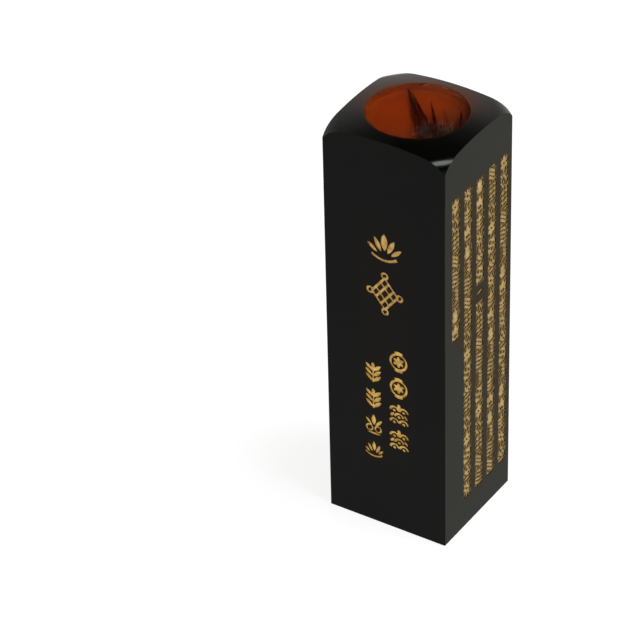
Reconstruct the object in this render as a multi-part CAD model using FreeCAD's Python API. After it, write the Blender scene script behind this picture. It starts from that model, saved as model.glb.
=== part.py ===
import FreeCAD, Part
import math
import os

# A square keepsake seal: a black seal blank with a domed top, a shallow well in the dome that holds
# locks of hair in clear resin over a vermilion lining, and engraved ornament filled with gold.
# Millimetres. Origin at the centre of the base, +Z up, the face with the two emblems towards -Y.

Vector = FreeCAD.Vector

# ---- driving dimensions: the blank ----
BODY_WIDTH = 18.0            # across X
BODY_DEPTH = 16.8            # across Y
DOME_TOP = 61.0              # height of the polished dome on the axis
DOME_RADIUS = 47.0           # gentle crown of the dome
SHOULDER_RADIUS = 3.0        # tighter roll at the dome's outer rim
TURNING_RADIUS = 12.5        # where the roll would turn vertical, just outside the corners
EDGE_BREAK = 0.12            # small round on the long edges

# ---- driving dimensions: the well and what it holds ----
WELL_RADIUS = 6.84
WELL_FLOOR = 56.8            # height of the well's floor
WELL_CORNER = 1.6            # round between the well's wall and its floor
LINING_THICKNESS = 0.25
RESIN_OVER_LINING = 0.20     # the lining stops this far below the dome, and the resin covers its edge

# Each lock of hair runs from its gathered tip to its loose end: two points and two half widths.
HAIR_LOCKS = {
    "hair_lock_main": (Vector(-4.2, 4.6, 59.3), 0.22, Vector(2.9, -3.05, 57.65), 1.25),
    "hair_lock_middle": (Vector(-0.1, 3.3, 58.95), 0.12, Vector(4.0, -1.9, 57.5), 0.42),
    "hair_lock_thin": (Vector(1.9, 3.0, 58.5), 0.10, Vector(4.8, -0.5, 57.6), 0.34),
    "hair_lock_edge": (Vector(3.8, 4.2, 58.7), 0.12, Vector(5.45, 0.9, 57.8), 0.42),
}
LOCK_FLATNESS = 0.4          # a lock's thickness as a share of its width
LOCK_BELLY = 0.7             # how far along its length a lock has nearly reached its full width
LOCK_FULLNESS = 0.94         # its width there, as a share of the loose end's
LOCK_SIDES = 10

# ---- driving dimensions: the engraving ----
ENGRAVING_DEPTH = 0.30       # from the face to the floor of a groove
GOLD_THICKNESS = 0.18        # gold left on that floor, so it sits a little below the face
BOLD_STROKE = 0.36           # width of the strokes in the knot emblem

UPPER_EMBLEM_HEIGHT = 44.5   # centres of the two emblems above the base
LOWER_EMBLEM_HEIGHT = 37.4

FRONT_PITCH = 4.18           # vertical pitch of the front motifs
FRONT_COLUMN_OFFSET = 1.95   # each front column's distance from the centre line
FRONT_RIGHT_TOP = 27.35      # centre of the top motif of each front column
FRONT_LEFT_TOP = 24.35

SMALL_WIDTH = 1.90           # one small motif of the dense columns
SMALL_HEIGHT = 2.66
SMALL_PITCH = 2.72
SMALL_PER_COLUMN = 18
LAST_COLUMN_COUNT = 8        # the last column of the side face stops early
COLUMN_COUNT = 5
COLUMN_TOP = 52.1            # centre of the top motif of each dense column
COLUMN_PITCH = 3.02
COLUMN_SHIFT = 0.38          # the block of columns sits slightly off the face's centre line
LONE_LEAF_ROW = 6            # in the middle column, a single leaf stands in a gap of its own

# ---- driving dimensions: the carved foot ----
FOOT_BORDER = 0.9            # raised frame around the carved field
FOOT_CARVING = 0.5           # depth of the field
FOOT_LINE = 0.75             # width of the raised lines


# ---------------------------------------------------------------- flat shapes
# Every ornament is drawn flat, with u to the right and v up, and grown along +Z into a prism.

def face_from(points):
    """A flat polygon from (u, v) points."""
    corners = [Vector(u, v, 0) for u, v in points]
    return Part.Face(Part.makePolygon(corners + corners[:1]))


def bar(start, end, width):
    """A straight stroke with square ends."""
    (u0, v0), (u1, v1) = start, end
    length = math.hypot(u1 - u0, v1 - v0)
    du = -(v1 - v0) / length * width / 2
    dv = (u1 - u0) / length * width / 2
    return face_from([(u0 + du, v0 + dv), (u0 - du, v0 - dv), (u1 - du, v1 - dv), (u1 + du, v1 + dv)])


def leaf(start, end, width):
    """A pointed leaf between two tips, bounded by two arcs."""
    (u0, v0), (u1, v1) = start, end
    length = math.hypot(u1 - u0, v1 - v0)
    du = -(v1 - v0) / length * width / 2
    dv = (u1 - u0) / length * width / 2
    middle_u, middle_v = (u0 + u1) / 2, (v0 + v1) / 2
    tip_a, tip_b = Vector(u0, v0, 0), Vector(u1, v1, 0)
    side_a = Part.Arc(tip_a, Vector(middle_u + du, middle_v + dv, 0), tip_b).toShape()
    side_b = Part.Arc(tip_b, Vector(middle_u - du, middle_v - dv, 0), tip_a).toShape()
    return Part.Face(Part.Wire([side_a, side_b]))


def disc(u, v, radius):
    return Part.Face(Part.Wire(Part.makeCircle(radius, Vector(u, v, 0))))


def ring(u, v, radius, width):
    return disc(u, v, radius + width / 2).cut(disc(u, v, radius - width / 2))


def arch(u, v, radius, width, start_degrees, end_degrees):
    """A stroke along part of a circle."""
    def point(distance, degrees):
        turn = math.radians(degrees)
        return Vector(u + distance * math.cos(turn), v + distance * math.sin(turn), 0)

    inner, outer = radius - width / 2, radius + width / 2
    middle = (start_degrees + end_degrees) / 2
    edges = [
        Part.Arc(point(outer, start_degrees), point(outer, middle), point(outer, end_degrees)).toShape(),
        Part.makeLine(point(outer, end_degrees), point(inner, end_degrees)),
        Part.Arc(point(inner, end_degrees), point(inner, middle), point(inner, start_degrees)).toShape(),
        Part.makeLine(point(inner, start_degrees), point(outer, start_degrees)),
    ]
    return Part.Face(Part.Wire(edges))


def lozenge(u, v, width, height):
    return face_from([(u, v + height / 2), (u - width / 2, v), (u, v - height / 2), (u + width / 2, v)])


def lozenge_ring(u, v, width, height, stroke):
    """A diamond-shaped frame whose four sides are one stroke wide."""
    half_w, half_h = width / 2, height / 2
    inset = stroke * math.hypot(half_w, half_h)
    hollow = lozenge(u, v, width - 2 * inset / half_h, height - 2 * inset / half_w)
    return lozenge(u, v, width, height).cut(hollow)


def around(count, start_degrees=90):
    """Evenly spaced directions around a point."""
    for index in range(count):
        turn = math.radians(start_degrees + 360 * index / count)
        yield math.cos(turn), math.sin(turn)


def grow(faces, height):
    """Raises flat strokes to prisms and joins the ones that touch."""
    prisms = [face.extrude(Vector(0, 0, height)) for face in faces]
    return prisms[0].multiFuse(prisms[1:]).removeSplitter() if len(prisms) > 1 else prisms[0]


# ---------------------------------------------------------------- small motifs

HALF_W = SMALL_WIDTH / 2
HALF_H = SMALL_HEIGHT / 2


def corner_seeds(size, ends=(-1, 1)):
    """Diamond-shaped seeds in the motif's upper or lower corners, or in all four."""
    places = [(side, end) for end in ends for side in (-1, 1)]
    return [lozenge(side * (HALF_W - size), end * (HALF_H - size), 2 * size, 2 * size)
            for side, end in places]


def ground_leaf(end, width=0.34):
    """A leaf lying along the motif's top or bottom."""
    v = end * (HALF_H - width / 2)
    return leaf((-HALF_W, v), (HALF_W, v), width)


def small_blossom():
    strokes = [ring(0, 0, 0.30, 0.34)]
    for c, s in around(6):
        strokes.append(leaf((0.24 * c, 0.24 * s), (HALF_W * 1.05 * c, HALF_H * s), 0.74))
    return strokes + corner_seeds(0.27)


def small_lozenge_eye():
    strokes = [lozenge_ring(0, 0, SMALL_WIDTH, SMALL_HEIGHT, 0.38), lozenge(0, 0, 0.64, 0.90)]
    for side in (-1, 1):
        for end in (-1, 1):
            strokes.append(leaf((side * HALF_W, end * HALF_H), (side * 0.36, end * 0.70), 0.42))
    return strokes


def small_chevrons():
    strokes = [ground_leaf(-1)]
    for rise in (0.92, 0.32, -0.28):
        for side in (-1, 1):
            strokes.append(bar((side * 0.86, rise - 0.56), (-side * 0.10, rise + 0.22), 0.37))
    return strokes + corner_seeds(0.28, (1,))


def small_sprig():
    strokes = [bar((0, -HALF_H), (0, 0.55), 0.34), leaf((0, 0.20), (0, HALF_H), 0.62)]
    for rise in (-1.12, -0.52, 0.08):
        for side in (-1, 1):
            strokes.append(leaf((0, rise), (side * HALF_W, rise + 0.62), 0.52))
    return strokes + corner_seeds(0.28, (1,))


def small_waves():
    strokes = [ground_leaf(-1, 0.44)]
    for rise in (0.74, -0.02, -0.78):
        for side in (-1, 1):
            strokes.append(arch(side * 0.46, rise, 0.36, 0.40, -10, 190))
    return strokes


def small_cloud():
    strokes = [ring(-0.46, -0.26, 0.32, 0.38), ring(0.46, -0.26, 0.32, 0.38)]
    strokes.append(ring(0, 0.42, 0.40, 0.40))
    strokes.append(ground_leaf(-1, 0.60))
    strokes.append(leaf((0, 0.66), (0, HALF_H), 0.50))
    return strokes + corner_seeds(0.28, (1,))


def small_fan():
    strokes = [disc(0, -0.90, 0.36), ground_leaf(-1, 0.44)]
    for degrees in (14, 52, 90, 128, 166):
        turn = math.radians(degrees)
        tip = (HALF_W * math.cos(turn), -0.90 + 2.18 * math.sin(turn))
        strokes.append(leaf((0, -0.90), tip, 0.60))
    return strokes + corner_seeds(0.27, (1,))


def small_sun():
    strokes = [ring(0, 0, 0.38, 0.38)]
    for c, s in around(8):
        strokes.append(leaf((0.40 * c, 0.40 * s), (HALF_W * c, HALF_H * s), 0.52))
    return strokes + corner_seeds(0.26)


def small_net():
    strokes = [ground_leaf(1, 0.30), ground_leaf(-1, 0.30)]
    for shift in (-0.62, 0, 0.62):
        strokes.append(bar((-0.82, shift - 0.56), (0.82, shift + 0.56), 0.34))
        strokes.append(bar((-0.82, shift + 0.56), (0.82, shift - 0.56), 0.34))
    return strokes


def small_linked_rings():
    return [
        ring(-0.26, 0.56, 0.48, 0.40),
        ring(0.26, -0.56, 0.48, 0.40),
        leaf((0.24, HALF_H), (HALF_W, 0.08), 0.52),
        leaf((-0.24, -HALF_H), (-HALF_W, -0.08), 0.52),
    ]


def small_bud():
    strokes = [leaf((0, -0.60), (0, HALF_H), 0.94), arch(0, -0.34, 0.72, 0.40, 180, 360)]
    for side in (-1, 1):
        strokes.append(leaf((side * 0.30, -0.72), (side * (HALF_W - 0.05), 0.90), 0.54))
    return strokes + corner_seeds(0.26)


def small_feather():
    strokes = [bar((-0.43, 0.06 - HALF_H), (0.38, HALF_H - 0.06), 0.34)]
    for share in (0.16, 0.38, 0.60, 0.82):
        u, v = -0.45 + 0.85 * share, -HALF_H + SMALL_HEIGHT * share
        strokes.append(leaf((u, v), (-HALF_W + 0.02, v + 0.34), 0.46))
        strokes.append(leaf((u, v), (HALF_W - 0.02, v - 0.30), 0.46))
    return strokes


def lone_leaf():
    return [leaf((-HALF_W, -0.10), (HALF_W, 0.14), 0.50)]


SMALL_MOTIFS = [
    small_blossom, small_chevrons, small_cloud, small_net, small_sprig, small_lozenge_eye,
    small_fan, small_linked_rings, small_feather, small_sun, small_waves, small_bud,
]


# ---------------------------------------------------------------- front motifs

def lotus_emblem():
    """An open lotus over a curved water line."""
    strokes = [leaf((0.0, -0.55), (0.0, 2.15), 1.05)]
    for side in (-1, 1):
        strokes.append(leaf((side * 0.42, -0.85), (side * 1.55, 1.45), 0.78))
        strokes.append(leaf((side * 0.95, -1.05), (side * 2.60, 0.35), 0.66))
    strokes.append(arch(0, 1.15, 3.10, 0.46, 232, 308))
    return strokes


def knot_emblem():
    """An endless knot: a slanting lattice with a loop at each corner."""
    width, height = 4.3, 5.4
    half_w, half_h = width / 2, height / 2
    strokes = [lozenge_ring(0, 0, width, height, BOLD_STROKE)]
    for share in (-1 / 6, 1 / 6):
        u, v = share * half_w, share * half_h
        reach_u, reach_v = half_w / 2, half_h / 2
        strokes.append(bar((u - reach_u, v + reach_v), (u + reach_u, v - reach_v), BOLD_STROKE))
        strokes.append(bar((u - reach_u, -v - reach_v), (u + reach_u, -v + reach_v), BOLD_STROKE))
    for c, s in around(4):
        strokes.append(ring((half_w + 0.05) * c, (half_h + 0.05) * s, 0.42, BOLD_STROKE))
    return strokes


def medallion():
    """A blossom inside a ring, with a small leaf above and below."""
    strokes = [ring(0, 0, 1.20, 0.38), disc(0, 0, 0.28)]
    for c, s in around(6):
        strokes.append(leaf((0.12 * c, 0.12 * s), (0.92 * c, 0.92 * s), 0.54))
    for side in (-1, 1):
        strokes.append(leaf((-0.78, side * 1.42), (0.78, side * 1.42), 0.56))
    return strokes


def scale_fan():
    """Three rows of overlapping scales, each with a seed in it."""
    strokes = []
    for row, rise in enumerate((-1.50, -0.55, 0.40)):
        for u in ((-0.72, 0.72) if row % 2 == 0 else (0,)):
            strokes.append(arch(u, rise, 0.62, 0.38, 0, 180))
            strokes.append(disc(u, rise + 0.06, 0.26))
    for side in (-1, 1):
        strokes.append(leaf((side * 1.36, -0.62), (side * 0.72, 0.10), 0.46))
    strokes.append(leaf((0, 0.82), (0, 1.66), 0.60))
    return strokes


def leaf_spray():
    """A stem with paired, steeply rising leaves."""
    strokes = [bar((0, -1.62), (0, 0.9), 0.28), leaf((0, 0.50), (0, 1.66), 0.60)]
    for rise in (-1.45, -0.62, 0.21):
        for side in (-1, 1):
            strokes.append(leaf((0, rise), (side * 1.22, rise + 1.18), 0.60))
    return strokes


def scroll_pair():
    """Two curls back to back under a bud."""
    strokes = [leaf((0, -0.20), (0, 1.60), 0.74)]
    for side in (-1, 1):
        strokes.append(ring(side * 0.66, -0.72, 0.46, 0.30))
        strokes.append(leaf((side * 0.20, -0.35), (side * 1.32, 0.95), 0.48))
    strokes.append(leaf((-1.30, -1.50), (1.30, -1.50), 0.40))
    return strokes


def small_lotus():
    """The upper emblem's flower again, at the size of one front motif."""
    strokes = [leaf((0, -0.35), (0, 1.35), 0.62)]
    for side in (-1, 1):
        strokes.append(leaf((side * 0.25, -0.55), (side * 0.95, 0.90), 0.48))
        strokes.append(leaf((side * 0.58, -0.66), (side * 1.42, 0.20), 0.40))
    strokes.append(arch(0, 0.85, 1.95, 0.34, 228, 312))
    return strokes


# ---------------------------------------------------------------- placing ornament on the sides

class Side:
    """One upright side of the blank: where its centre line is, and which way is right and out."""

    def __init__(self, distance, right, outward):
        self.centre = outward * distance
        self.right = right
        self.outward = outward

    def place(self, prism, u, height, level):
        """A copy of a prism on this side, its own Z along the outward direction, starting at a level."""
        r, o = self.right, self.outward
        p = self.centre + r * u + Vector(0, 0, height) + o * level
        copy = prism.copy()
        copy.Placement = FreeCAD.Placement(FreeCAD.Matrix(
            r.x, 0, o.x, p.x,
            r.y, 0, o.y, p.y,
            r.z, 1, o.z, p.z,
            0, 0, 0, 1))
        return copy


FRONT = Side(BODY_DEPTH / 2, Vector(1, 0, 0), Vector(0, -1, 0))
NEAR_SIDE = Side(BODY_WIDTH / 2, Vector(0, 1, 0), Vector(1, 0, 0))
BACK = Side(BODY_DEPTH / 2, Vector(-1, 0, 0), Vector(0, 1, 0))
FAR_SIDE = Side(BODY_WIDTH / 2, Vector(0, -1, 0), Vector(-1, 0, 0))

CUTTER_OVERRUN = 0.5         # how far the cutting prisms stand out of the face


class Motif:
    """A drawn ornament, ready as the gold that fills it and as the cutter for its grooves."""

    def __init__(self, strokes):
        self.gold = grow(strokes, GOLD_THICKNESS)
        self.cutter = grow(strokes, ENGRAVING_DEPTH + CUTTER_OVERRUN)


def engrave(side, marks):
    """Gold and cutters of a group of marks, each mark a motif, its u and its height."""
    gold = []
    cutters = []
    for motif, u, height in marks:
        gold.extend(side.place(motif.gold, u, height, -ENGRAVING_DEPTH).Solids)
        cutters.extend(side.place(motif.cutter, u, height, -ENGRAVING_DEPTH).Solids)
    return gold, cutters


def front_groups():
    """The two emblems and the two short columns below them."""
    lotus, knot = Motif(lotus_emblem()), Motif(knot_emblem())
    blossom, scales = Motif(medallion()), Motif(scale_fan())
    spray, scroll, bud = Motif(leaf_spray()), Motif(scroll_pair()), Motif(small_lotus())

    def column(motifs, u, top):
        return [(motif, u, top - row * FRONT_PITCH) for row, motif in enumerate(motifs)]

    return {
        "gold_upper_emblem": [(lotus, 0, UPPER_EMBLEM_HEIGHT)],
        "gold_lower_emblem": [(knot, 0, LOWER_EMBLEM_HEIGHT)],
        "gold_front_right_column": column(
            [blossom, blossom, scales, scales], FRONT_COLUMN_OFFSET, FRONT_RIGHT_TOP),
        "gold_front_left_column": column(
            [spray, spray, scroll, bud], -FRONT_COLUMN_OFFSET, FRONT_LEFT_TOP),
    }


def dense_column(motifs, leaf_motif, face_number, column):
    """One long column of small motifs in a varied order, as (motif, u, height)."""
    middle = (COLUMN_COUNT - 1) / 2
    u = COLUMN_SHIFT + (middle - column) * COLUMN_PITCH
    last_of_all = face_number == 0 and column == COLUMN_COUNT - 1
    rows = LAST_COLUMN_COUNT if last_of_all else SMALL_PER_COLUMN
    step = 5 if column % 2 == 0 else 7
    marks = []
    for row in range(rows):
        motif = motifs[(step * row + 3 * column + 2 * face_number + row // len(motifs)) % len(motifs)]
        if face_number == 0 and column == middle and row == LONE_LEAF_ROW:
            motif = leaf_motif
        marks.append((motif, u, COLUMN_TOP - row * SMALL_PITCH))
    return marks


# ---------------------------------------------------------------- the blank and the well

def dome_envelope():
    """A turned solid whose top is the dome, rolled over at its rim."""
    dome_centre = DOME_TOP - DOME_RADIUS
    roll_r = TURNING_RADIUS - SHOULDER_RADIUS
    roll_z = dome_centre + math.sqrt((DOME_RADIUS - SHOULDER_RADIUS) ** 2 - roll_r ** 2)
    lean = math.atan2(roll_r, roll_z - dome_centre)

    def on_dome(angle):
        return Vector(DOME_RADIUS * math.sin(angle), 0, dome_centre + DOME_RADIUS * math.cos(angle))

    def on_roll(angle):
        return Vector(roll_r + SHOULDER_RADIUS * math.sin(angle), 0,
                      roll_z + SHOULDER_RADIUS * math.cos(angle))

    rim = Vector(TURNING_RADIUS, 0, 0)
    edges = [
        Part.makeLine(Vector(0, 0, 0), rim),
        Part.makeLine(rim, on_roll(math.pi / 2)),
        Part.Arc(on_roll(math.pi / 2), on_roll((lean + math.pi / 2) / 2), on_roll(lean)).toShape(),
        Part.Arc(on_dome(lean), on_dome(lean / 2), on_dome(0)).toShape(),
        Part.makeLine(on_dome(0), Vector(0, 0, 0)),
    ]
    return Part.Face(Part.Wire(edges)).revolve(Vector(0, 0, 0), Vector(0, 0, 1), 360)


def well_space(inset):
    """The well's volume, open above the dome, drawn in by an inset all round."""
    radius, floor, corner = WELL_RADIUS - inset, WELL_FLOOR + inset, WELL_CORNER - inset
    above = DOME_TOP + 1
    bend = corner * (1 - math.sqrt(0.5))
    edges = [
        Part.makeLine(Vector(0, 0, above), Vector(0, 0, floor)),
        Part.makeLine(Vector(0, 0, floor), Vector(radius - corner, 0, floor)),
        Part.Arc(Vector(radius - corner, 0, floor), Vector(radius - bend, 0, floor + bend),
                 Vector(radius, 0, floor + corner)).toShape(),
        Part.makeLine(Vector(radius, 0, floor + corner), Vector(radius, 0, above)),
        Part.makeLine(Vector(radius, 0, above), Vector(0, 0, above)),
    ]
    return Part.Face(Part.Wire(edges)).revolve(Vector(0, 0, 0), Vector(0, 0, 1), 360)


def blank(envelope):
    """The squared bar under the dome, with its long edges just broken."""
    bar_block = Part.makeBox(BODY_WIDTH, BODY_DEPTH, DOME_TOP + 1,
                             Vector(-BODY_WIDTH / 2, -BODY_DEPTH / 2, 0))
    upright = [edge for edge in bar_block.Edges if abs(edge.BoundBox.ZLength - DOME_TOP - 1) < 1e-6]
    return bar_block.makeFillet(EDGE_BREAK, upright).common(envelope)


def foot_field():
    """The sunken ground of the carved foot: a framed field around raised lines."""
    half_w, half_d = BODY_WIDTH / 2 - FOOT_BORDER, BODY_DEPTH / 2 - FOOT_BORDER
    field = face_from([(-half_w, -half_d), (half_w, -half_d), (half_w, half_d), (-half_w, half_d)])
    raised = [disc(0, 0, 1.15), ring(0, 0, 2.3, FOOT_LINE)]
    raised.append(lozenge_ring(0, 0, 2 * half_w + 0.6, 2 * half_d + 0.6, FOOT_LINE))
    for c, s in around(8, 22.5):
        raised.append(leaf((2.4 * c, 2.4 * s), (4.5 * c, 4.5 * s), 0.95))
    for side_u in (-1, 1):
        for side_v in (-1, 1):
            raised.append(arch(side_u * half_w, side_v * half_d, 2.6, FOOT_LINE, 0, 359))
            raised.append(disc(side_u * (half_w - 0.7), side_v * (half_d - 0.7), 0.55))
    ground = field.cut(raised[0].multiFuse(raised[1:]))
    return ground.extrude(Vector(0, 0, FOOT_CARVING))


def hair_lock(tip, tip_width, end, end_width):
    """A flat, fanning bundle with many sides, blunt at both ends. The widths are half widths."""
    length = tip.distanceToPoint(end)
    sections = []
    for share, width in ((0, tip_width), (LOCK_BELLY, end_width * LOCK_FULLNESS), (1, end_width)):
        outline = [Vector(width * c, width * LOCK_FLATNESS * s, length * share)
                   for c, s in around(LOCK_SIDES, 0)]
        sections.append(Part.makePolygon(outline + outline[:1]))
    lock = Part.makeLoft(sections, True, True)
    along = (end - tip).normalize()
    across = along.cross(Vector(0, 0, 1)).normalize()
    over = along.cross(across)
    lock.Placement = FreeCAD.Placement(FreeCAD.Matrix(
        across.x, over.x, along.x, tip.x,
        across.y, over.y, along.y, tip.y,
        across.z, over.z, along.z, tip.z,
        0, 0, 0, 1))
    return lock


# ---------------------------------------------------------------- the sub-parts

def build():
    """Every sub-part by name, each a list of closed solids."""
    parts = {}
    cutters = []

    for name, marks in front_groups().items():
        parts[name], group_cutters = engrave(FRONT, marks)
        cutters.extend(group_cutters)

    motifs = [Motif(draw()) for draw in SMALL_MOTIFS]
    leaf_motif = Motif(lone_leaf())
    dense_sides = [
        ("gold_near_side_column", NEAR_SIDE),
        ("gold_back_column", BACK),
        ("gold_far_side_column", FAR_SIDE),
    ]
    for face_number, (prefix, side) in enumerate(dense_sides):
        for column in range(COLUMN_COUNT):
            marks = dense_column(motifs, leaf_motif, face_number, column)
            name = "%s_%d" % (prefix, column + 1)
            parts[name], group_cutters = engrave(side, marks)
            cutters.extend(group_cutters)

    envelope = dome_envelope()
    body = blank(envelope).cut(well_space(0)).cut(foot_field())
    parts["seal_body"] = body.cut(Part.makeCompound(cutters)).Solids

    lining_envelope = envelope.translated(Vector(0, 0, -RESIN_OVER_LINING))
    lining = well_space(0).common(lining_envelope).cut(well_space(LINING_THICKNESS))
    parts["well_lining"] = lining.Solids

    locks = {name: hair_lock(*shape) for name, shape in HAIR_LOCKS.items()}
    for name, lock in locks.items():
        parts[name] = lock.Solids
    filled = Part.makeCompound([lining] + list(locks.values()))
    parts["resin_fill"] = well_space(0).common(envelope).cut(filled).Solids
    return parts


def write(parts):
    os.makedirs("parts", exist_ok=True)
    for name, solids in parts.items():
        shape = solids[0] if len(solids) == 1 else Part.makeCompound(solids)
        shape.exportStep("parts/%s.step" % name)
        print("%-28s solids %3d  faces %5d  volume %9.3f  valid %s"
              % (name, len(solids), len(shape.Faces), shape.Volume, shape.isValid()))


write(build())
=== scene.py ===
import bpy
import math
import random
import re

from mathutils import Matrix, Vector


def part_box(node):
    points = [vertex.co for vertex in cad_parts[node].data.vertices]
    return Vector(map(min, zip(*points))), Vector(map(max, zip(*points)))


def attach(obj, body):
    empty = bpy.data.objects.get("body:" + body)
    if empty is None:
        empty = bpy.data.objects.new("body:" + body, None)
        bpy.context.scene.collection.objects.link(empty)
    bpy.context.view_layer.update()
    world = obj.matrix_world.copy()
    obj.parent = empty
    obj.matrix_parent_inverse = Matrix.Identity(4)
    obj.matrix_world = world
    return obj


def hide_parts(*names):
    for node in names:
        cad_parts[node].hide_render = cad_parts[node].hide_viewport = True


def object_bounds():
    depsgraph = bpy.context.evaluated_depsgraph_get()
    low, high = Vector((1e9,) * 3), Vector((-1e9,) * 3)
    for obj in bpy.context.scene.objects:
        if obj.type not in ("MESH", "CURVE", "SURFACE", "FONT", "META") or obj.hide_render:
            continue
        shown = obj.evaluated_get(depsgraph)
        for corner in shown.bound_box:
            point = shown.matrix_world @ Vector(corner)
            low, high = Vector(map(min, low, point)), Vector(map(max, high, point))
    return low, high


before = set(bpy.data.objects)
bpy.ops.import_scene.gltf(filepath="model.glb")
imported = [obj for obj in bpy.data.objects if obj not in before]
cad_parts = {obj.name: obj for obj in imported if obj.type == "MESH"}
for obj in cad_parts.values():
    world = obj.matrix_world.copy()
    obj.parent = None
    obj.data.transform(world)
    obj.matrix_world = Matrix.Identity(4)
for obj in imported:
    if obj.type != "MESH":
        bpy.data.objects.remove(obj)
cad_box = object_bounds()

MM = 0.001

# ---- the object, read from the frame ----
BODY_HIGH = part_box("seal_body")[1]
RESIN_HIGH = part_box("resin_fill")[1]
LINING_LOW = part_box("well_lining")[0]
HALF_WIDTH = BODY_HIGH.x
HALF_DEPTH = BODY_HIGH.y
DOME_TOP = RESIN_HIGH.z
WELL_RADIUS = RESIN_HIGH.x
WELL_FLOOR = LINING_LOW.z
DOME_RADIUS = 47.0 * MM
DOME_CENTRE = DOME_TOP - DOME_RADIUS
SIDES_TOP = 56.4 * MM             # the engraved sides end here, below the dome's shoulder
LINING_THICKNESS = 0.25 * MM
RESIN_INSIDE = 6.35               # in millimetres: how far from the axis a hair can lie

# ---- the dense columns of marks on the sides and the back ----
COLUMN_PITCH = 3.02 * MM
COLUMN_SHIFT = 0.38 * MM          # how far the columns stand off the side's centre line
FINE_MARKS = re.compile("(side|back)_column")
SINGLE_STROKE = 35.78 * MM        # height of the lone stroke in the third column

# ---- the short columns of marks on the front ----
SHORT_COLUMNS = ("gold_front_right_column", "gold_front_left_column")
FRONT_PITCH = 4.18 * MM
FRONT_MARK_REACH = 1.68 * MM      # from a mark's centre to its top
MARK_HAZE = 0.75                  # gold powder between the strokes of the knot and of the short columns

# The hair was laid across the well in this direction, towards the wall where its ends gather.
LAID = Vector((0.554, -0.833, 0))
ACROSS = Vector((0.833, 0.554, 0))

# ---- the camera ----
CAMERA_AZIMUTH = 33.63          # degrees from -Y towards +X
CAMERA_ELEVATION = 34.61
CAMERA_ROLL = -1.58
CAMERA_DISTANCE = 0.469
CAMERA_LENS = 200.4
CAMERA_AIM = Vector((-19.75, 3.98, 20.64)) * MM


def direction(azimuth, elevation):
    """A unit vector: azimuth in degrees from -Y towards +X, elevation in degrees up from level."""
    turn, rise = math.radians(azimuth), math.radians(elevation)
    return Vector((math.sin(turn) * math.cos(rise), -math.cos(turn) * math.cos(rise), math.sin(rise)))


# ---------------------------------------------------------------- material helpers

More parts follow.
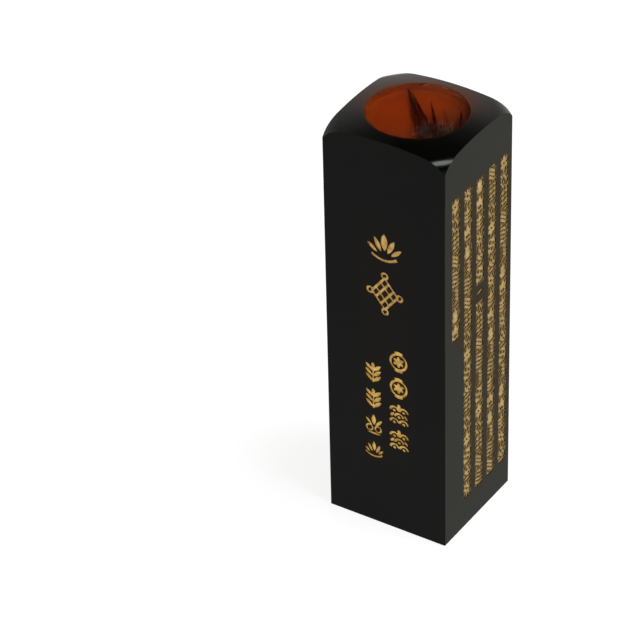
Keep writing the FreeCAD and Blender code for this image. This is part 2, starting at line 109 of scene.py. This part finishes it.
class Nodes:
    """Short calls for building one material's nodes."""

    def __init__(self, name):
        self.material = bpy.data.materials.new(name)
        self.material.use_nodes = True
        self.tree = self.material.node_tree
        self.tree.nodes.clear()
        self.output = self.tree.nodes.new("ShaderNodeOutputMaterial")

    def add(self, kind, **settings):
        node = self.tree.nodes.new("ShaderNode" + kind)
        for key, value in settings.items():
            setattr(node, key, value)
        return node

    def link(self, source, target):
        self.tree.links.new(source, target)

    def place(self, scale=(1, 1, 1)):
        """Positions in metres in the row frame, scaled."""
        coordinates = self.add("TexCoord")
        mapping = self.add("Mapping")
        mapping.inputs["Scale"].default_value = scale
        self.link(coordinates.outputs["Object"], mapping.inputs["Vector"])
        return mapping.outputs["Vector"]

    def noise(self, scale, detail=3.0, roughness=0.5, stretch=(1, 1, 1)):
        node = self.add("TexNoise")
        node.inputs["Scale"].default_value = scale
        node.inputs["Detail"].default_value = detail
        node.inputs["Roughness"].default_value = roughness
        self.link(self.place(stretch), node.inputs["Vector"])
        return node.outputs["Fac"]

    def ramp(self, source, *stops):
        """A colour ramp from (position, colour) stops."""
        node = self.add("ValToRGB")
        elements = node.color_ramp.elements
        while len(elements) < len(stops):
            elements.new(0.5)
        for element, (position, colour) in zip(elements, stops):
            element.position = position
            element.color = (*colour, 1)
        self.link(source, node.inputs["Fac"])
        return node.outputs["Color"]

    def spread(self, source, low, high, from_low=0.0, from_high=1.0):
        """A value moved from one range to another, held at its ends."""
        node = self.add("MapRange")
        node.inputs["From Min"].default_value = from_low
        node.inputs["From Max"].default_value = from_high
        node.inputs["To Min"].default_value = low
        node.inputs["To Max"].default_value = high
        self.link(source, node.inputs["Value"])
        return node.outputs["Result"]

    def along(self, axis):
        """How far a point lies in a direction, in metres."""
        node = self.add("VectorMath", operation="DOT_PRODUCT")
        node.inputs[1].default_value = axis
        self.link(self.place(), node.inputs[0])
        return node.outputs["Value"]

    def maths(self, operation, first, second=None):
        node = self.add("Math", operation=operation)
        for socket, value in zip(node.inputs, (first, second)):
            if isinstance(value, (int, float)):
                socket.default_value = value
            elif value is not None:
                self.link(value, socket)
        return node.outputs["Value"]

    def times(self, *values):
        """The product of two or more values."""
        product = values[0]
        for value in values[1:]:
            product = self.maths("MULTIPLY", product, value)
        return product

    def largest(self, *values):
        """The largest of two or more values."""
        top = values[0]
        for value in values[1:]:
            top = self.maths("MAXIMUM", top, value)
        return top

    def off(self, source, centre):
        """How far a value is from a centre, either way."""
        return self.maths("ABSOLUTE", self.maths("SUBTRACT", source, centre))

    def between(self, source, start, full, full_end, end):
        """1 from one place to another, fading to 0 outside them."""
        return self.times(self.spread(source, 0, 1, start, full), self.spread(source, 1, 0, full_end, end))

    def mix(self, factor, first, second):
        """Two colours mixed by a factor; each may be a colour or a socket."""
        node = self.add("Mix", data_type="RGBA")
        sockets = (node.inputs[0], node.inputs[6], node.inputs[7])
        for socket, value in zip(sockets, (factor, first, second)):
            if isinstance(value, tuple):
                socket.default_value = (*value, 1)
            elif isinstance(value, (int, float)):
                socket.default_value = value
            else:
                self.link(value, socket)
        return node.outputs[2]

    def bump(self, height, distance, strength=1.0, under=None):
        node = self.add("Bump")
        node.inputs["Strength"].default_value = strength
        node.inputs["Distance"].default_value = distance
        self.link(height, node.inputs["Height"])
        if under is not None:
            self.link(under, node.inputs["Normal"])
        return node.outputs["Normal"]

    def finish(self, colour, roughness, normal=None, **values):
        """Ends in a Principled shader. Each value is a socket or a plain value."""
        shader = self.add("BsdfPrincipled")
        values.update(Base_Color=colour, Roughness=roughness, Normal=normal)
        for name, value in values.items():
            socket = shader.inputs[name.replace("_", " ")]
            if isinstance(value, bpy.types.NodeSocket):
                self.link(value, socket)
            elif isinstance(value, tuple):
                socket.default_value = (*value, 1)
            elif value is not None:
                socket.default_value = value
        self.link(shader.outputs["BSDF"], self.output.inputs["Surface"])
        return self.material


# ---------------------------------------------------------------- materials

def marks_haze(n, x, z):
    """Gold powder on the front: a faint haze down the middle, thick between the strokes of the marks."""
    haze = n.times(n.between(z, 9.0 * MM, 13.0 * MM, 45.0 * MM, 49.0 * MM),
                   n.spread(n.maths("ABSOLUTE", x), 0.10, 0, 2.6 * MM, 5.0 * MM))
    low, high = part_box("gold_lower_emblem")
    centre, reach = (low + high) / 2, (high - low) / 2
    sideways = n.maths("DIVIDE", n.off(x, centre.x), reach.x)
    lengthways = n.maths("DIVIDE", n.off(z, centre.z), reach.z)
    lattice = n.spread(n.maths("ADD", sideways, lengthways), MARK_HAZE, 0, 0.76, 0.84)
    haze = n.largest(haze, lattice)

    fade = 0.2 * MM
    for name in SHORT_COLUMNS:
        low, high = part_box(name)
        sideways = n.maths("DIVIDE", n.maths("SUBTRACT", x, (low.x + high.x) / 2), (high.x - low.x) / 2)
        from_top = n.maths("SUBTRACT", z, high.z - FRONT_MARK_REACH)
        lengthways = n.maths("DIVIDE", n.maths("PINGPONG", from_top, FRONT_PITCH / 2), FRONT_MARK_REACH)
        oval = n.maths("ADD", n.times(sideways, sideways), n.times(lengthways, lengthways))
        in_column = n.between(z, low.z - fade, low.z + fade, high.z - fade, high.z + fade)
        haze = n.largest(haze, n.times(n.spread(oval, MARK_HAZE, 0, 0.45, 1.15), in_column))
    return haze


def column_ribbons(n, x, y, z, near_side, far_side, back):
    """Gold left between the strokes of each dense column, but not round the lone stroke of the third."""
    along_side = n.mix(n.largest(near_side, far_side), x, y)
    offset = n.mix(n.largest(far_side, back), along_side, n.times(along_side, -1.0))
    offset = n.maths("SUBTRACT", offset, COLUMN_SHIFT)
    beside = n.maths("PINGPONG", offset, COLUMN_PITCH / 2)
    past_last = n.maths("SUBTRACT", n.maths("ABSOLUTE", offset), 2 * COLUMN_PITCH)
    beside = n.largest(beside, past_last)
    ragged = n.spread(n.noise(1700, 3, 0.6), -0.20 * MM, 0.20 * MM, 0.32, 0.68)
    beside = n.maths("ADD", beside, ragged)
    ribbon = n.times(n.spread(beside, 1, 0, 0.70 * MM, 0.95 * MM),
                     n.between(z, 4.6 * MM, 4.9 * MM, 53.0 * MM, 53.3 * MM))

    below_short_column = n.times(near_side, n.spread(y, 1, 0, -4.4 * MM, -4.0 * MM),
                                 n.spread(z, 1, 0, 31.8 * MM, 32.1 * MM))
    round_lone_stroke = n.times(near_side, n.spread(n.maths("ABSOLUTE", offset), 1, 0, 1.3 * MM, 1.4 * MM),
                                n.spread(n.off(z, SINGLE_STROKE), 1, 0, 1.35 * MM, 1.45 * MM))
    for bare in (below_short_column, round_lone_stroke):
        ribbon = n.times(ribbon, n.maths("SUBTRACT", 1.0, bare))
    patchy = n.spread(n.noise(2300, 3, 0.6), 0.60, 1.0, 0.38, 0.62)
    return n.times(ribbon, n.largest(near_side, far_side, back), patchy)


def body_material():
    """Black polished resin with fine polishing lines, and gold in the grooves and wiped round them."""
    n = Nodes("black_polished_resin")
    separate = n.add("SeparateXYZ")
    n.link(n.place(), separate.inputs["Vector"])
    x, y, z = (separate.outputs[axis] for axis in "XYZ")
    facing = n.add("SeparateXYZ")
    n.link(n.add("NewGeometry").outputs["Normal"], facing.inputs["Vector"])

    # Where on the blank a point is: on the dome, on one of its sides, or in a groove.
    on_dome = n.spread(facing.outputs["Z"], 0, 1, 0.20, 0.5)
    near_side = n.spread(facing.outputs["X"], 0, 1, 0.8, 0.95)
    far_side = n.spread(facing.outputs["X"], 0, 1, -0.8, -0.95)
    back = n.spread(facing.outputs["Y"], 0, 1, 0.8, 0.95)
    front = n.spread(facing.outputs["Y"], 0, 1, -0.8, -0.95)
    side_depth = n.maths("SUBTRACT", HALF_WIDTH, n.maths("ABSOLUTE", x))
    front_depth = n.maths("SUBTRACT", HALF_DEPTH, n.maths("ABSOLUTE", y))
    depth = n.maths("MINIMUM", side_depth, front_depth)
    on_sides = n.between(z, 0.6 * MM, 1.0 * MM, SIDES_TOP, SIDES_TOP + 0.4 * MM)
    in_groove = n.times(on_sides, n.spread(depth, 0, 1, 0.05 * MM, 0.16 * MM))

    # A red-brown glow painted on the dome round the well, widest behind it: painted light, standing in for
    # the lining's colour bent and reflected out at the resin's edge.
    radius = n.maths("SQRT", n.maths("ADD", n.times(x, x), n.times(y, y)))
    near_rim = n.spread(radius, 1, 0, WELL_RADIUS, WELL_RADIUS + 3.6 * MM)
    behind = n.spread(n.along(0.12 * ACROSS - LAID), 0, 1, -1.5 * MM, 4.0 * MM)
    painted_rim_glow = n.times(on_dome, behind, n.times(near_rim, near_rim))

    # Gold powder left by wiping: a brown haze over the dense columns and between the marks on the front.
    last_edge = n.spread(z, -4.3 * MM, -7.0 * MM, 28.0 * MM, 32.0 * MM)
    near_width = n.spread(n.maths("SUBTRACT", y, last_edge), 0, 1, 0, 1.2 * MM)
    dense = n.times(n.largest(n.times(near_side, near_width), far_side, back),
                    n.between(z, 3.0 * MM, 6.0 * MM, 52.0 * MM, 55.0 * MM))
    wiped = n.maths("ADD", dense, n.times(front, marks_haze(n, x, z)))
    wiped = n.times(wiped, n.spread(n.noise(650, 4, 0.6), 0.6, 1.0, 0.3, 0.7))
    ribbon = column_ribbons(n, x, y, z, near_side, far_side, back)

    base = n.ramp(n.noise(260, 4), (0.35, (0.0003, 0.0003, 0.0002)), (0.7, (0.0008, 0.0008, 0.0004)))
    # The near side's black is painted a little lighter and warmer than the rest of the blank: painted
    # light, for the light that side catches.
    base = n.mix(near_side, base, (0.0048, 0.0046, 0.0008))
    colour = n.mix(wiped, base, (0.0210, 0.0115, 0.0005))
    colour = n.mix(ribbon, colour, (0.190, 0.124, 0.038))
    # The painted rim glow: painted light on the black dome round the well.
    colour = n.mix(painted_rim_glow, colour, (0.052, 0.0150, 0.0035))
    colour = n.mix(n.times(in_groove, 0.85), colour, (0.17, 0.075, 0.014))

    # The near side reflects a little less than the rest, and less still low down: painted shade, standing
    # in for the shaded floor it reflects near its foot. The painted rim glow reflects less still.
    gloss = n.mix(near_side, (0.5, 0.5, 0.5), n.spread(z, 0.30, 0.345, 40 * MM, 54 * MM))
    gloss = n.times(gloss, n.spread(painted_rim_glow, 1.0, 0.30), n.spread(wiped, 1.0, 0.55))

    satin = n.spread(n.noise(420, 5), 0.20, 0.30)
    polished = n.spread(n.noise(420, 5), 0.15, 0.22)
    roughness = n.mix(on_dome, satin, polished)
    lines = n.noise(900, 4, stretch=(1, 1, 0.06))
    fine = n.bump(lines, 0.005 * MM, 0.4)
    normal = n.bump(n.noise(2600, 3), 0.003 * MM, 0.4, fine)
    return n.finish(colour, roughness, normal, IOR=1.165, Specular_IOR_Level=gloss)


def gold_material(name, thin, middle, full, flecks):
    """Bronze-powder gold paint brushed into the grooves: grainy, darker where it thins."""
    n = Nodes(name)
    patches = n.noise(1300, 5, 0.6)
    grain = n.noise(8000, 3, 0.7)
    colour = n.ramp(patches, (0.34, thin), (0.50, middle), (0.68, full))
    colour = n.mix(n.spread(grain, 0, 0.40, 0.55, 0.8), colour, flecks)
    roughness = n.spread(patches, 0.62, 0.42)
    normal = n.bump(grain, 0.02 * MM, 0.4, n.bump(patches, 0.04 * MM, 0.5))
    return n.finish(colour, roughness, normal, Metallic=0.35)


def vermilion_material():
    """Matte vermilion paste. Painted shade darkens it across the hair, towards the wall where the ends
    gather, and most of all under the stray locks; painted light brightens it up the wall.
    """
    n = Nodes("vermilion_paste")
    patches = n.noise(420, 5, 0.55)
    grain = n.noise(5200, 3, 0.6)
    across, laid = n.along(ACROSS), n.along(LAID)
    # Painted shade under the stray locks, deepest across the hair and towards where its ends gather.
    thin = n.times(n.spread(across, 0, 0.60, 0.5 * MM, 4.0 * MM),
                   n.spread(laid, 0, 1, -4.6 * MM, 0.6 * MM))
    # How much of the paste's own colour shows: painted shade darkens it across the hair and towards the
    # wall where the ends gather.
    thick = n.maths("SUBTRACT", n.spread(across, 1.0, 0.72, 3.0 * MM, 6.5 * MM), thin)
    thick = n.times(thick, n.spread(laid, 1.0, 0.55, -3.5 * MM, 4.5 * MM))
    paste = n.ramp(patches, (0.3, (0.290, 0.0310, 0.0009)), (0.7, (0.345, 0.0365, 0.0013)))
    separate = n.add("SeparateXYZ")
    n.link(n.place(), separate.inputs["Vector"])
    z = separate.outputs["Z"]
    # Painted light: the paste is brightened up the wall, and more so further across the hair, to lift the
    # wall's shade.
    wall = n.times(n.spread(z, 0, 1, WELL_FLOOR + 0.3 * MM, WELL_FLOOR + 2.2 * MM),
                   n.spread(z, 1, 0.95, DOME_TOP - 1.6 * MM, DOME_TOP - 0.8 * MM))
    painted_lit_wall = n.mix(n.spread(across, 0, 1, 0, 3.5 * MM), (0.78, 0.128, 0.014), (1.0, 0.200, 0.030))
    paste = n.mix(wall, paste, painted_lit_wall)
    # Painted shade: the paste is darkened towards a dark red-brown.
    colour = n.mix(thick, (0.048, 0.0200, 0.0080), paste)
    normal = n.bump(grain, 0.02 * MM, 0.4)
    return n.finish(colour, 0.9, normal, Specular_IOR_Level=0.05)


def resin_material():
    """Clear casting resin: it bends light like resin, under a thin, barely reflecting polished skin."""
    n = Nodes("clear_resin")
    normal = n.bump(n.noise(380, 2), 0.006 * MM, 0.4)
    skin = n.add("Fresnel")
    skin.inputs["IOR"].default_value = 1.03
    clear = n.add("BsdfRefraction")
    clear.inputs["IOR"].default_value = 1.5
    clear.inputs["Roughness"].default_value = 0.0
    tint = n.ramp(n.noise(300, 2), (0.3, (1.0, 0.985, 0.965)), (0.7, (1.0, 0.99, 0.98)))
    n.link(tint, clear.inputs["Color"])
    gloss = n.add("BsdfGlossy")
    gloss.inputs["Roughness"].default_value = 0.03
    gloss.inputs["Color"].default_value = (1, 1, 1, 1)
    mixed = n.add("MixShader")
    for node in (skin, clear, gloss):
        n.link(normal, node.inputs["Normal"])
    n.link(skin.outputs["Fac"], mixed.inputs["Fac"])
    n.link(clear.outputs["BSDF"], mixed.inputs[1])
    n.link(gloss.outputs["BSDF"], mixed.inputs[2])
    n.link(mixed.outputs["Shader"], n.output.inputs["Surface"])
    return n.material


def fibre_material(name, dark, light, shine):
    """Hair in the resin, lighter along some strands."""
    n = Nodes(name)
    colour = n.ramp(n.noise(1400, 2), (0.35, dark), (0.65, light))
    return n.finish(colour, 0.6, Specular_IOR_Level=shine)


def seam_material():
    """The brown line of varnish where the resin meets the blank, darker where the hair ends."""
    n = Nodes("brown_varnish")
    colour = n.ramp(n.noise(900, 3), (0.35, (0.070, 0.0240, 0.0110)), (0.65, (0.100, 0.0350, 0.0160)))
    colour = n.mix(n.spread(n.along(LAID), 0, 1, -1.0 * MM, 4.5 * MM), colour, (0.020, 0.0060, 0.0020))
    return n.finish(colour, 0.6, n.bump(n.noise(1500, 3), 0.01 * MM, 0.4), IOR=1.05)


def floor_material():
    """A white, evenly lit table."""
    n = Nodes("white_table")
    colour = n.ramp(n.noise(30, 4), (0.3, (0.19, 0.19, 0.19)), (0.7, (0.21, 0.21, 0.21)))
    normal = n.bump(n.noise(900, 3), 0.02 * MM, 0.3)
    return n.finish(colour, 0.9, normal, Specular_IOR_Level=0.0,
                    Emission_Color=(1, 1, 1), Emission_Strength=0.84)


# ---------------------------------------------------------------- pieces

def add_mesh(name, vertices, faces, material, smooth=True):
    mesh = bpy.data.meshes.new(name)
    mesh.from_pydata(vertices, [], faces)
    mesh.update()
    for polygon in mesh.polygons:
        polygon.use_smooth = smooth
    mesh.materials.append(material)
    piece = bpy.data.objects.new(name, mesh)
    bpy.context.scene.collection.objects.link(piece)
    return piece


def turned(name, profile, material, segments=128):
    """A closed turned piece from (radius, height) points that start and end on the axis."""
    vertices, rings, faces = [], [], []
    for radius, height in profile:
        if radius == 0:
            rings.append([len(vertices)])
            vertices.append((0, 0, height))
            continue
        rings.append(range(len(vertices), len(vertices) + segments))
        for index in range(segments):
            turn = 2 * math.pi * index / segments
            vertices.append((radius * math.cos(turn), radius * math.sin(turn), height))
    for lower, upper in zip(rings, rings[1:]):
        for index in range(segments):
            following = (index + 1) % segments
            if len(lower) == 1:
                faces.append((lower[0], upper[following], upper[index]))
            elif len(upper) == 1:
                faces.append((lower[index], lower[following], upper[0]))
            else:
                faces.append((lower[index], lower[following], upper[following], upper[index]))
    return add_mesh(name, vertices, faces, material)


def dome_height(radius):
    """The dome's height at a distance from the axis."""
    return DOME_CENTRE + math.sqrt(DOME_RADIUS ** 2 - radius ** 2)


def resin_lens(material):
    """The resin as one clear body under the dome. Its edge, wall and floor sink into their seats."""
    sunk = LINING_THICKNESS / 2
    side = WELL_RADIUS - sunk
    floor = WELL_FLOOR + sunk
    corner = 1.5 * MM
    edge = WELL_RADIUS + 0.04 * MM
    edge_height = dome_height(WELL_RADIUS)
    covered = 0.24 * MM
    rolled_down = 0.012 * MM
    dome_steps, corner_steps = 28, 8

    profile = [(0, floor)]
    for step in range(corner_steps + 1):
        turn = math.pi / 2 * step / corner_steps
        profile.append((side - corner + corner * math.sin(turn), floor + corner - corner * math.cos(turn)))
    profile.append((side, edge_height - covered))
    profile.append((edge, edge_height - covered))
    for step in range(dome_steps + 1):
        share = 1 - step / dome_steps
        profile.append((edge * share, dome_height(edge * share) - rolled_down * share ** 4))
    return turned("resin_clear", profile, material)


def rim_seam(material):
    """The narrow flush ring where the resin meets the blank, rolled down at its inner side."""
    inner = WELL_RADIUS - 0.22 * MM
    middle = WELL_RADIUS - 0.10 * MM
    outer = WELL_RADIUS + 0.03 * MM
    low = -0.10 * MM
    # The ring's section: how far each corner is from the axis, and how far above the dome.
    section = [(inner, -0.05 * MM), (middle, -0.008 * MM), (outer, -0.004 * MM),
               (outer, low), (inner, low)]
    segments = 160
    vertices, faces = [], []
    for index in range(segments):
        turn = 2 * math.pi * index / segments
        for radius, rise in section:
            vertices.append((radius * math.cos(turn), radius * math.sin(turn), dome_height(radius) + rise))
    count = len(section)
    for index in range(segments):
        here, following = index * count, (index + 1) % segments * count
        for step in range(count):
            after = (step + 1) % count
            faces.append((here + step, following + step, following + after, here + after))
    return add_mesh("rim_seam", vertices, faces, material)


class Lock:
    """One lock of hair, where the CAD node is: its two ends and its half widths there, in millimetres."""

    FLATNESS = 0.4      # its thickness as a share of its width

    def __init__(self, tip, tip_width, end, end_width):
        self.tip, self.end = Vector(tip), Vector(end)
        self.tip_width, self.end_width = tip_width, end_width
        along = (self.end - self.tip).normalized()
        self.across = along.cross(Vector((0, 0, 1))).normalized()
        self.over = self.across.cross(along)

    def point(self, share, side, lift):
        """A point in the lock: share along it, side and lift from -1 to 1 across and over it."""
        width = self.tip_width + (self.end_width - self.tip_width) * share
        place = self.tip.lerp(self.end, share)
        return (place + self.across * side * width + self.over * lift * width * self.FLATNESS) * MM


LOCKS = {
    "hair_lock_main": Lock((-4.2, 4.6, 59.3), 0.20, (2.9, -3.05, 57.65), 1.25),
    "hair_lock_middle": Lock((-0.1, 3.3, 58.95), 0.10, (4.0, -1.9, 57.5), 0.42),
    "hair_lock_thin": Lock((1.9, 3.0, 58.5), 0.10, (4.8, -0.5, 57.6), 0.34),
    "hair_lock_edge": Lock((3.8, 4.2, 58.7), 0.10, (5.45, 0.9, 57.8), 0.42),
}

# The strands of each lock, in bundles: how many, the sides they fan between, where along the lock they
# start and stop, and their radius in millimetres.
BUNDLES = {
    "hair_lock_main": [
        (24, (-0.30, 0.60), (0.0, 0.12), (0.70, 1.0), 0.024),
        (44, (-1.0, 0.30), (0.0, 0.30), (0.75, 1.0), 0.021),
        (22, (-1.0, 1.0), (0.2, 0.6), (0.85, 1.0), 0.017),
    ],
    "hair_lock_middle": [
        (18, (-0.5, 0.7), (0.0, 0.25), (0.75, 1.0), 0.025),
        (8, (-1.0, 1.0), (0.2, 0.5), (0.8, 1.0), 0.016),
    ],
    "hair_lock_thin": [(7, (-0.9, 0.9), (0.0, 0.5), (0.7, 1.0), 0.018)],
    "hair_lock_edge": [
        (18, (-0.7, 0.5), (0.0, 0.35), (0.7, 1.0), 0.024),
        (8, (-1.0, 1.0), (0.2, 0.6), (0.8, 1.0), 0.018),
    ],
}


class Strands:
    """Separate smooth strands, all in one curve object."""

    def __init__(self, name, material, seed):
        self.name = name
        self.chance = random.Random(seed)
        self.curve = bpy.data.curves.new(name, "CURVE")
        self.curve.dimensions = "3D"
        self.curve.bevel_depth = MM
        self.curve.bevel_resolution = 1
        self.curve.resolution_u = 3
        self.curve.materials.append(material)

    def add(self, points, radius):
        """One strand through its points, thinner at both ends. The radius is in millimetres."""
        spline = self.curve.splines.new("NURBS")
        spline.points.add(len(points) - 1)
        for index, (point, place) in enumerate(zip(spline.points, points)):
            share = index / (len(points) - 1)
            point.co = (*place, 1)
            point.radius = radius * (0.45 + 0.55 * math.sin(math.pi * (0.12 + 0.76 * share)))
        spline.order_u = 4
        spline.use_endpoint_u = True

    def bundle(self, lock, count, sides, starts, stops, radius):
        """Strands that fan out of a lock's tip and waver a little on their way."""
        for _ in range(count):
            side = self.chance.uniform(*sides)
            lift = self.chance.uniform(-0.8, 0.8)
            start, stop = self.chance.uniform(*starts), self.chance.uniform(*stops)
            sway = self.chance.uniform(-0.22, 0.22)
            thick = radius * self.chance.uniform(0.7, 1.2)
            runs = 7
            points = []
            for step in range(runs + 1):
                share = start + (stop - start) * step / runs
                points.append(lock.point(share, side + sway * math.sin(2.6 * share + 3 * lift), lift))
            self.add(points, thick)

    def finish(self):
        piece = bpy.data.objects.new(self.name, self.curve)
        bpy.context.scene.collection.objects.link(piece)
        return piece


def well_point(across, laid, height):
    """A place in the well by how far it is across the hair and along it, in millimetres."""
    return (ACROSS * across + LAID * laid) * MM + Vector((0, 0, height * MM))


def loose_ends(name, material, seed, count, radii, places, reach):
    """Short loose strands beyond the locks: along the well's floor, then curving up near its wall.

    places has the least, the greatest and the likeliest distance across the hair, and reach is how far
    along it they start. All are in millimetres.
    """
    strands = Strands(name, material, seed)
    chance = strands.chance
    runs = 5
    for _ in range(count):
        across = chance.triangular(*places)
        wall = math.sqrt(RESIN_INSIDE ** 2 - across ** 2)
        start, stop = chance.uniform(*reach), wall * chance.uniform(0.72, 0.95)
        lean = chance.uniform(-0.35, 0.15)
        height, rise = chance.uniform(57.75, 58.35), chance.uniform(0.3, 1.9)
        points = []
        for step in range(runs + 1):
            share = step / runs
            points.append(well_point(across + lean * share * share, start + (stop - start) * share,
                                     height + rise * share ** 3))
        strands.add(points, chance.uniform(*radii))
    return strands.finish()


def rim_tuft(material):
    """A knot of short dark hairs caught under the far edge of the resin."""
    strands = Strands("rim_tuft", material, 5)
    chance = strands.chance
    middle = 0.72
    hairs, points_each = 22, 4
    for _ in range(hairs):
        across = middle + chance.uniform(-0.30, 0.30)
        points = []
        for _ in range(points_each):
            points.append(well_point(across + chance.uniform(-0.16, 0.16), -chance.uniform(6.36, 6.56),
                                     chance.uniform(60.32, 60.47)))
        strands.add(points, radius=0.04)
    return strands.finish()


def painted_air_glints(material):
    """Thin pale slivers of air under the far edge, and one fine hair near the surface, all drawn pale and
    bright: painted glints where they catch the light.
    """
    strands = Strands("painted_air_glints", material, 9)
    # Each sliver: where it starts and ends across the hair, its distance from the axis, and its radius.
    slivers = ((0.95, 1.75, 6.38, 0.07), (3.45, 4.0, 6.48, 0.05), (1.1, 1.6, 6.26, 0.04))
    sliver_height = 60.36
    shares = (0, 0.25, 0.5, 0.75, 1)
    for start, end, distance, radius in slivers:
        points = []
        for share in shares:
            across = start + (end - start) * share
            laid = -math.sqrt(distance ** 2 - across ** 2)
            points.append(well_point(across, laid, sliver_height))
        strands.add(points, radius)
    hair = [well_point(4.0 + 2.2 * share, -3.7 + 0.9 * share ** 2, 60.50 - 0.08 * share)
            for share in shares]
    strands.add(hair, radius=0.018)
    return strands.finish()


# ---------------------------------------------------------------- stage

def add_floor(material):
    size = 1.5
    corners = [(-size, -size, 0), (size, -size, 0), (size, size, 0), (-size, size, 0)]
    floor = add_mesh("floor", corners, [(0, 1, 2, 3)], material, smooth=False)
    floor.location.z = cad_box[0][2]


def add_area_light(name, azimuth, elevation, distance, size, power, colour):
    """A rectangular light that faces the object's upper part."""
    aim = Vector((0, 0, 0.05))
    data = bpy.data.lights.new(name, "AREA")
    data.shape = "RECTANGLE"
    data.size, data.size_y = size
    data.energy = power
    data.color = colour
    light = bpy.data.objects.new(name, data)
    towards = direction(azimuth, elevation)
    light.location = aim + towards * distance
    light.rotation_euler = towards.to_track_quat("Z", "Y").to_euler()
    bpy.context.scene.collection.objects.link(light)


def add_world():
    """A pale backdrop low down all round, dark above it."""
    world = bpy.data.worlds.new("studio")
    world.use_nodes = True
    tree = world.node_tree
    coordinates = tree.nodes.new("ShaderNodeTexCoord")
    separate = tree.nodes.new("ShaderNodeSeparateXYZ")
    ramp = tree.nodes.new("ShaderNodeValToRGB")
    # How bright the backdrop is from level, at 0.5, up to overhead, at 1.
    stops = [(0.50, 1.0), (0.719, 0.97), (0.772, 0.80), (0.821, 0.29), (0.858, 0.16), (0.888, 0.04)]
    elements = ramp.color_ramp.elements
    while len(elements) < len(stops):
        elements.new(0.5)
    for element, (position, level) in zip(elements, stops):
        element.position = position
        element.color = (level, level * 0.99, level * 0.96, 1)
    to_half = tree.nodes.new("ShaderNodeMapRange")
    to_half.inputs["From Min"].default_value = -1
    tree.links.new(coordinates.outputs["Generated"], separate.inputs["Vector"])
    tree.links.new(separate.outputs["Z"], to_half.inputs["Value"])
    tree.links.new(to_half.outputs["Result"], ramp.inputs["Fac"])
    tree.links.new(ramp.outputs["Color"], tree.nodes["Background"].inputs["Color"])
    tree.nodes["Background"].inputs["Strength"].default_value = 1.3
    bpy.context.scene.world = world


def add_camera():
    back = direction(CAMERA_AZIMUTH, CAMERA_ELEVATION)
    level = direction(CAMERA_AZIMUTH + 90, 0)
    up = back.cross(level)
    roll = math.radians(CAMERA_ROLL)
    right = level * math.cos(roll) + up * math.sin(roll)
    top = up * math.cos(roll) - level * math.sin(roll)
    data = bpy.data.cameras.new("camera")
    data.lens = CAMERA_LENS
    data.clip_start = 0.01
    camera = bpy.data.objects.new("camera", data)
    turn = Matrix((right, top, back)).transposed().to_4x4()
    camera.matrix_world = Matrix.Translation(CAMERA_AIM + back * CAMERA_DISTANCE) @ turn
    bpy.context.scene.collection.objects.link(camera)
    bpy.context.scene.camera = camera


# ---------------------------------------------------------------- the model

def dress(name, material):
    """Gives a CAD node its material."""
    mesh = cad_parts[name].data
    mesh.materials.clear()
    mesh.materials.append(material)


def build():
    dress("seal_body", body_material())
    dress("well_lining", vermilion_material())
    bold = gold_material("gold_paint", thin=(0.29, 0.150, 0.030), middle=(0.48, 0.280, 0.066),
                         full=(0.61, 0.385, 0.115), flecks=(0.25, 0.120, 0.024))
    fine = gold_material("thin_gold_paint", thin=(0.27, 0.172, 0.046), middle=(0.40, 0.265, 0.082),
                         full=(0.50, 0.345, 0.122), flecks=(0.21, 0.122, 0.032))
    bright = gold_material("bright_gold_paint", thin=(0.34, 0.180, 0.030), middle=(0.57, 0.340, 0.070),
                           full=(0.72, 0.460, 0.120), flecks=(0.29, 0.142, 0.024))
    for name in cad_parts:
        if FINE_MARKS.search(name):
            dress(name, fine)
        elif name in SHORT_COLUMNS:
            dress(name, bright)
        elif name.startswith("gold_"):
            dress(name, bold)

    resin = resin_lens(resin_material())
    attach(resin, "root")
    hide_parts("resin_fill")

    # Dark hair painted red: the red is painted light, the vermilion lining's colour tinting the hair that
    # lies on it.
    hair = fibre_material("dark_hair_painted_red", (0.032, 0.0020, 0.0002), (0.080, 0.0075, 0.0008), shine=0.03)
    for seed, (node, lock) in enumerate(LOCKS.items()):
        strands = Strands(node + "_strands", hair, seed)
        for count, sides, starts, stops, radius in BUNDLES[node]:
            strands.bundle(lock, count, sides, starts, stops, radius)
        piece = strands.finish()
        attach(piece, "root")
        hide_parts(node)

    knot = fibre_material("black_knot", (0.002, 0.0008, 0.0004), (0.008, 0.0025, 0.0010), shine=0.08)
    pale = fibre_material("split_ends", (0.090, 0.048, 0.036), (0.190, 0.112, 0.090), shine=0.2)
    # Pale and bright: painted glints on the air slivers and on the fine hair.
    glint_paint = fibre_material("painted_air_glints", (0.500, 0.300, 0.200), (0.800, 0.550, 0.400), shine=0.3)
    loose = [
        loose_ends("loose_dark_ends", hair, seed=31, count=72, radii=(0.014, 0.022),
                   places=(-1.5, 5.1, 1.0), reach=(1.4, 3.6)),
        loose_ends("loose_middle_ends", hair, seed=33, count=34, radii=(0.014, 0.022),
                   places=(0.4, 2.9, 1.4), reach=(-0.2, 2.4)),
        loose_ends("loose_pale_ends", pale, seed=32, count=330, radii=(0.009, 0.015),
                   places=(-0.9, 4.7, 1.2), reach=(0.8, 3.6)),
        rim_tuft(knot),
        painted_air_glints(glint_paint),
    ]
    for piece in loose:
        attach(piece, "root")

    seam = rim_seam(seam_material())
    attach(seam, "root")


build()
add_floor(floor_material())
add_world()
add_area_light("overhead_softbox", azimuth=97, elevation=73, distance=0.55, size=(0.17, 0.17),
               power=2.9, colour=(0.95, 0.985, 1.0))
add_camera()
bpy.context.scene.view_settings.view_transform = "Standard"
